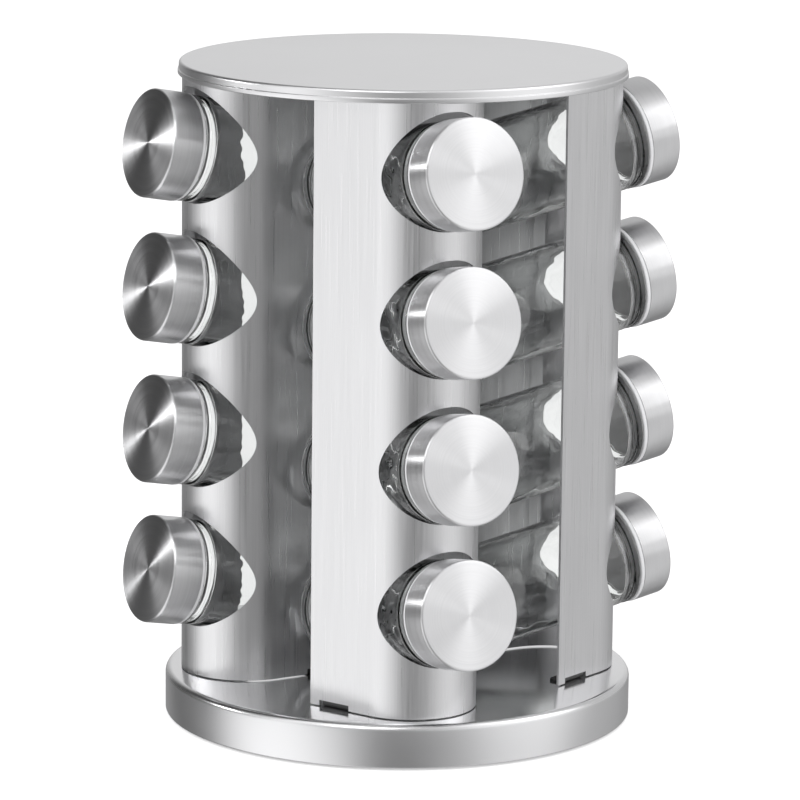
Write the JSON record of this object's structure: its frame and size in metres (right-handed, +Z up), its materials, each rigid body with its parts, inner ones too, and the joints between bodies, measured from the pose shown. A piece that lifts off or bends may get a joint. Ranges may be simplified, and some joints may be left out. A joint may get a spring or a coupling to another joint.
{
  "type": "spice carousel",
  "caption": "Revolving stainless steel rack that holds tilted glass spice jars with screw caps in round holes on four sides.",
  "frame": {"origin": "centre of the footprint, on the surface that the feet stand on", "axes": "+Z up along the axis that the rack turns about; -Y is the way the front column's jars point, seen from above"},
  "size_m": [0.2094, 0.2094, 0.2676],
  "materials": {
    "panel_steel": "vertical brushed",
    "pan_steel": "satin",
    "disc_steel": "satin",
    "cap_steel": "spun, circular brushed",
    "jar_glass": "clear",
    "liner_plastic": "moulded white",
    "zinc_steel": "zinc plated",
    "ball_steel": "polished",
    "cage_plastic": "moulded natural",
    "foot_rubber": "matt"
  },
  "bodies": {
    "foot": {"foot_plate": "zinc_steel", "rubber_feet": "foot_rubber", "centre_rivet": "zinc_steel"},
    "cage": {"ball_cage": "cage_plastic", "race_balls": "ball_steel"},
    "carousel": {"base_pan": "pan_steel", "top_disc": "disc_steel", "upper_race": "zinc_steel", "panel_front": "panel_steel", "panel_right": "panel_steel", "panel_back": "panel_steel", "panel_left": "panel_steel"},
    "jar_front_1": {"jar_front_1": "jar_glass"},
    "cap_liner_front_1": {"cap_liner_front_1": "liner_plastic"},
    "cap_front_1": {"cap_front_1": "cap_steel"},
    "jar_front_2": {"jar_front_2": "jar_glass"},
    "cap_liner_front_2": {"cap_liner_front_2": "liner_plastic"},
    "cap_front_2": {"cap_front_2": "cap_steel"},
    "jar_front_3": {"jar_front_3": "jar_glass"},
    "cap_liner_front_3": {"cap_liner_front_3": "liner_plastic"},
    "cap_front_3": {"cap_front_3": "cap_steel"},
    "jar_front_4": {"jar_front_4": "jar_glass"},
    "cap_liner_front_4": {"cap_liner_front_4": "liner_plastic"},
    "cap_front_4": {"cap_front_4": "cap_steel"},
    "jar_right_1": {"jar_right_1": "jar_glass"},
    "cap_liner_right_1": {"cap_liner_right_1": "liner_plastic"},
    "cap_right_1": {"cap_right_1": "cap_steel"},
    "jar_right_2": {"jar_right_2": "jar_glass"},
    "cap_liner_right_2": {"cap_liner_right_2": "liner_plastic"},
    "cap_right_2": {"cap_right_2": "cap_steel"},
    "jar_right_3": {"jar_right_3": "jar_glass"},
    "cap_liner_right_3": {"cap_liner_right_3": "liner_plastic"},
    "cap_right_3": {"cap_right_3": "cap_steel"},
    "jar_right_4": {"jar_right_4": "jar_glass"},
    "cap_liner_right_4": {"cap_liner_right_4": "liner_plastic"},
    "cap_right_4": {"cap_right_4": "cap_steel"},
    "jar_back_1": {"jar_back_1": "jar_glass"},
    "cap_liner_back_1": {"cap_liner_back_1": "liner_plastic"},
    "cap_back_1": {"cap_back_1": "cap_steel"},
    "jar_back_2": {"jar_back_2": "jar_glass"},
    "cap_liner_back_2": {"cap_liner_back_2": "liner_plastic"},
    "cap_back_2": {"cap_back_2": "cap_steel"},
    "jar_back_3": {"jar_back_3": "jar_glass"},
    "cap_liner_back_3": {"cap_liner_back_3": "liner_plastic"},
    "cap_back_3": {"cap_back_3": "cap_steel"},
    "jar_back_4": {"jar_back_4": "jar_glass"},
    "cap_liner_back_4": {"cap_liner_back_4": "liner_plastic"},
    "cap_back_4": {"cap_back_4": "cap_steel"},
    "jar_left_1": {"jar_left_1": "jar_glass"},
    "cap_liner_left_1": {"cap_liner_left_1": "liner_plastic"},
    "cap_left_1": {"cap_left_1": "cap_steel"},
    "jar_left_2": {"jar_left_2": "jar_glass"},
    "cap_liner_left_2": {"cap_liner_left_2": "liner_plastic"},
    "cap_left_2": {"cap_left_2": "cap_steel"},
    "jar_left_3": {"jar_left_3": "jar_glass"},
    "cap_liner_left_3": {"cap_liner_left_3": "liner_plastic"},
    "cap_left_3": {"cap_left_3": "cap_steel"},
    "jar_left_4": {"jar_left_4": "jar_glass"},
    "cap_liner_left_4": {"cap_liner_left_4": "liner_plastic"},
    "cap_left_4": {"cap_left_4": "cap_steel"}
  },
  "joints": [
    {"name": "carousel_spin", "type": "hinge", "parent": "foot", "child": "carousel", "pos_m": [0, 0, 0.0085], "axis": [0, 0, 1], "continuous": true},
    {"name": "cage_spin", "type": "hinge", "parent": "foot", "child": "cage", "pos_m": [0, 0, 0.0085], "axis": [0, 0, 1], "continuous": true},
    {"name": "jar_pull_front_1", "type": "slide", "parent": "carousel", "child": "jar_front_1", "axis": [0, -0.9833, 0.1822], "range_m": [0, 0.09]},
    {"name": "cap_rise_front_1", "type": "slide", "parent": "jar_front_1", "child": "cap_liner_front_1", "axis": [0, -0.9833, 0.1822], "range_m": [0, 0.0045]},
    {"name": "cap_turn_front_1", "type": "hinge", "parent": "cap_liner_front_1", "child": "cap_front_1", "pos_m": [-0.0272, -0.1009, 0.2374], "axis": [0, -0.9833, 0.1822], "range_deg": [0, 544]},
    {"name": "jar_pull_front_2", "type": "slide", "parent": "carousel", "child": "jar_front_2", "axis": [0, -0.9833, 0.1822], "range_m": [0, 0.09]},
    {"name": "cap_rise_front_2", "type": "slide", "parent": "jar_front_2", "child": "cap_liner_front_2", "axis": [0, -0.9833, 0.1822], "range_m": [0, 0.0045]},
    {"name": "cap_turn_front_2", "type": "hinge", "parent": "cap_liner_front_2", "child": "cap_front_2", "pos_m": [-0.0272, -0.1009, 0.17974], "axis": [0, -0.9833, 0.1822], "range_deg": [0, 544]},
    {"name": "jar_pull_front_3", "type": "slide", "parent": "carousel", "child": "jar_front_3", "axis": [0, -0.9833, 0.1822], "range_m": [0, 0.09]},
    {"name": "cap_rise_front_3", "type": "slide", "parent": "jar_front_3", "child": "cap_liner_front_3", "axis": [0, -0.9833, 0.1822], "range_m": [0, 0.0045]},
    {"name": "cap_turn_front_3", "type": "hinge", "parent": "cap_liner_front_3", "child": "cap_front_3", "pos_m": [-0.0272, -0.1009, 0.12208], "axis": [0, -0.9833, 0.1822], "range_deg": [0, 544]},
    {"name": "jar_pull_front_4", "type": "slide", "parent": "carousel", "child": "jar_front_4", "axis": [0, -0.9833, 0.1822], "range_m": [0, 0.09]},
    {"name": "cap_rise_front_4", "type": "slide", "parent": "jar_front_4", "child": "cap_liner_front_4", "axis": [0, -0.9833, 0.1822], "range_m": [0, 0.0045]},
    {"name": "cap_turn_front_4", "type": "hinge", "parent": "cap_liner_front_4", "child": "cap_front_4", "pos_m": [-0.0272, -0.1009, 0.06442], "axis": [0, -0.9833, 0.1822], "range_deg": [0, 544]},
    {"name": "jar_pull_right_1", "type": "slide", "parent": "carousel", "child": "jar_right_1", "axis": [0.9833, 0, 0.1822], "range_m": [0, 0.09]},
    {"name": "cap_rise_right_1", "type": "slide", "parent": "jar_right_1", "child": "cap_liner_right_1", "axis": [0.9833, 0, 0.1822], "range_m": [0, 0.0045]},
    {"name": "cap_turn_right_1", "type": "hinge", "parent": "cap_liner_right_1", "child": "cap_right_1", "pos_m": [0.1009, -0.0272, 0.2374], "axis": [0.9833, 0, 0.1822], "range_deg": [0, 544]},
    {"name": "jar_pull_right_2", "type": "slide", "parent": "carousel", "child": "jar_right_2", "axis": [0.9833, 0, 0.1822], "range_m": [0, 0.09]},
    {"name": "cap_rise_right_2", "type": "slide", "parent": "jar_right_2", "child": "cap_liner_right_2", "axis": [0.9833, 0, 0.1822], "range_m": [0, 0.0045]},
    {"name": "cap_turn_right_2", "type": "hinge", "parent": "cap_liner_right_2", "child": "cap_right_2", "pos_m": [0.1009, -0.0272, 0.17974], "axis": [0.9833, 0, 0.1822], "range_deg": [0, 544]},
    {"name": "jar_pull_right_3", "type": "slide", "parent": "carousel", "child": "jar_right_3", "axis": [0.9833, 0, 0.1822], "range_m": [0, 0.09]},
    {"name": "cap_rise_right_3", "type": "slide", "parent": "jar_right_3", "child": "cap_liner_right_3", "axis": [0.9833, 0, 0.1822], "range_m": [0, 0.0045]},
    {"name": "cap_turn_right_3", "type": "hinge", "parent": "cap_liner_right_3", "child": "cap_right_3", "pos_m": [0.1009, -0.0272, 0.12208], "axis": [0.9833, 0, 0.1822], "range_deg": [0, 544]},
    {"name": "jar_pull_right_4", "type": "slide", "parent": "carousel", "child": "jar_right_4", "axis": [0.9833, 0, 0.1822], "range_m": [0, 0.09]},
    {"name": "cap_rise_right_4", "type": "slide", "parent": "jar_right_4", "child": "cap_liner_right_4", "axis": [0.9833, 0, 0.1822], "range_m": [0, 0.0045]},
    {"name": "cap_turn_right_4", "type": "hinge", "parent": "cap_liner_right_4", "child": "cap_right_4", "pos_m": [0.1009, -0.0272, 0.06442], "axis": [0.9833, 0, 0.1822], "range_deg": [0, 544]},
    {"name": "jar_pull_back_1", "type": "slide", "parent": "carousel", "child": "jar_back_1", "axis": [0, 0.9833, 0.1822], "range_m": [0, 0.09]},
    {"name": "cap_rise_back_1", "type": "slide", "parent": "jar_back_1", "child": "cap_liner_back_1", "axis": [0, 0.9833, 0.1822], "range_m": [0, 0.0045]},
    {"name": "cap_turn_back_1", "type": "hinge", "parent": "cap_liner_back_1", "child": "cap_back_1", "pos_m": [0.0272, 0.1009, 0.2374], "axis": [0, 0.9833, 0.1822], "range_deg": [0, 544]},
    {"name": "jar_pull_back_2", "type": "slide", "parent": "carousel", "child": "jar_back_2", "axis": [0, 0.9833, 0.1822], "range_m": [0, 0.09]},
    {"name": "cap_rise_back_2", "type": "slide", "parent": "jar_back_2", "child": "cap_liner_back_2", "axis": [0, 0.9833, 0.1822], "range_m": [0, 0.0045]},
    {"name": "cap_turn_back_2", "type": "hinge", "parent": "cap_liner_back_2", "child": "cap_back_2", "pos_m": [0.0272, 0.1009, 0.17974], "axis": [0, 0.9833, 0.1822], "range_deg": [0, 544]},
    {"name": "jar_pull_back_3", "type": "slide", "parent": "carousel", "child": "jar_back_3", "axis": [0, 0.9833, 0.1822], "range_m": [0, 0.09]},
    {"name": "cap_rise_back_3", "type": "slide", "parent": "jar_back_3", "child": "cap_liner_back_3", "axis": [0, 0.9833, 0.1822], "range_m": [0, 0.0045]},
    {"name": "cap_turn_back_3", "type": "hinge", "parent": "cap_liner_back_3", "child": "cap_back_3", "pos_m": [0.0272, 0.1009, 0.12208], "axis": [0, 0.9833, 0.1822], "range_deg": [0, 544]},
    {"name": "jar_pull_back_4", "type": "slide", "parent": "carousel", "child": "jar_back_4", "axis": [0, 0.9833, 0.1822], "range_m": [0, 0.09]},
    {"name": "cap_rise_back_4", "type": "slide", "parent": "jar_back_4", "child": "cap_liner_back_4", "axis": [0, 0.9833, 0.1822], "range_m": [0, 0.0045]},
    {"name": "cap_turn_back_4", "type": "hinge", "parent": "cap_liner_back_4", "child": "cap_back_4", "pos_m": [0.0272, 0.1009, 0.06442], "axis": [0, 0.9833, 0.1822], "range_deg": [0, 544]},
    {"name": "jar_pull_left_1", "type": "slide", "parent": "carousel", "child": "jar_left_1", "axis": [-0.9833, 0, 0.1822], "range_m": [0, 0.09]},
    {"name": "cap_rise_left_1", "type": "slide", "parent": "jar_left_1", "child": "cap_liner_left_1", "axis": [-0.9833, 0, 0.1822], "range_m": [0, 0.0045]},
    {"name": "cap_turn_left_1", "type": "hinge", "parent": "cap_liner_left_1", "child": "cap_left_1", "pos_m": [-0.1009, 0.0272, 0.2374], "axis": [-0.9833, 0, 0.1822], "range_deg": [0, 544]},
    {"name": "jar_pull_left_2", "type": "slide", "parent": "carousel", "child": "jar_left_2", "axis": [-0.9833, 0, 0.1822], "range_m": [0, 0.09]},
    {"name": "cap_rise_left_2", "type": "slide", "parent": "jar_left_2", "child": "cap_liner_left_2", "axis": [-0.9833, 0, 0.1822], "range_m": [0, 0.0045]},
    {"name": "cap_turn_left_2", "type": "hinge", "parent": "cap_liner_left_2", "child": "cap_left_2", "pos_m": [-0.1009, 0.0272, 0.17974], "axis": [-0.9833, 0, 0.1822], "range_deg": [0, 544]},
    {"name": "jar_pull_left_3", "type": "slide", "parent": "carousel", "child": "jar_left_3", "axis": [-0.9833, 0, 0.1822], "range_m": [0, 0.09]},
    {"name": "cap_rise_left_3", "type": "slide", "parent": "jar_left_3", "child": "cap_liner_left_3", "axis": [-0.9833, 0, 0.1822], "range_m": [0, 0.0045]},
    {"name": "cap_turn_left_3", "type": "hinge", "parent": "cap_liner_left_3", "child": "cap_left_3", "pos_m": [-0.1009, 0.0272, 0.12208], "axis": [-0.9833, 0, 0.1822], "range_deg": [0, 544]},
    {"name": "jar_pull_left_4", "type": "slide", "parent": "carousel", "child": "jar_left_4", "axis": [-0.9833, 0, 0.1822], "range_m": [0, 0.09]},
    {"name": "cap_rise_left_4", "type": "slide", "parent": "jar_left_4", "child": "cap_liner_left_4", "axis": [-0.9833, 0, 0.1822], "range_m": [0, 0.0045]},
    {"name": "cap_turn_left_4", "type": "hinge", "parent": "cap_liner_left_4", "child": "cap_left_4", "pos_m": [-0.1009, 0.0272, 0.06442], "axis": [-0.9833, 0, 0.1822], "range_deg": [0, 544]}
  ],
  "couplings": [
    {"joint": "cage_spin", "follows": "carousel_spin", "ratio": 0.5},
    {"joint": "cap_turn_front_1", "follows": "cap_rise_front_1", "rad_per_m": 2094.4},
    {"joint": "cap_turn_front_2", "follows": "cap_rise_front_2", "rad_per_m": 2094.4},
    {"joint": "cap_turn_front_3", "follows": "cap_rise_front_3", "rad_per_m": 2094.4},
    {"joint": "cap_turn_front_4", "follows": "cap_rise_front_4", "rad_per_m": 2094.4},
    {"joint": "cap_turn_right_1", "follows": "cap_rise_right_1", "rad_per_m": 2094.4},
    {"joint": "cap_turn_right_2", "follows": "cap_rise_right_2", "rad_per_m": 2094.4},
    {"joint": "cap_turn_right_3", "follows": "cap_rise_right_3", "rad_per_m": 2094.4},
    {"joint": "cap_turn_right_4", "follows": "cap_rise_right_4", "rad_per_m": 2094.4},
    {"joint": "cap_turn_back_1", "follows": "cap_rise_back_1", "rad_per_m": 2094.4},
    {"joint": "cap_turn_back_2", "follows": "cap_rise_back_2", "rad_per_m": 2094.4},
    {"joint": "cap_turn_back_3", "follows": "cap_rise_back_3", "rad_per_m": 2094.4},
    {"joint": "cap_turn_back_4", "follows": "cap_rise_back_4", "rad_per_m": 2094.4},
    {"joint": "cap_turn_left_1", "follows": "cap_rise_left_1", "rad_per_m": 2094.4},
    {"joint": "cap_turn_left_2", "follows": "cap_rise_left_2", "rad_per_m": 2094.4},
    {"joint": "cap_turn_left_3", "follows": "cap_rise_left_3", "rad_per_m": 2094.4},
    {"joint": "cap_turn_left_4", "follows": "cap_rise_left_4", "rad_per_m": 2094.4}
  ]
}
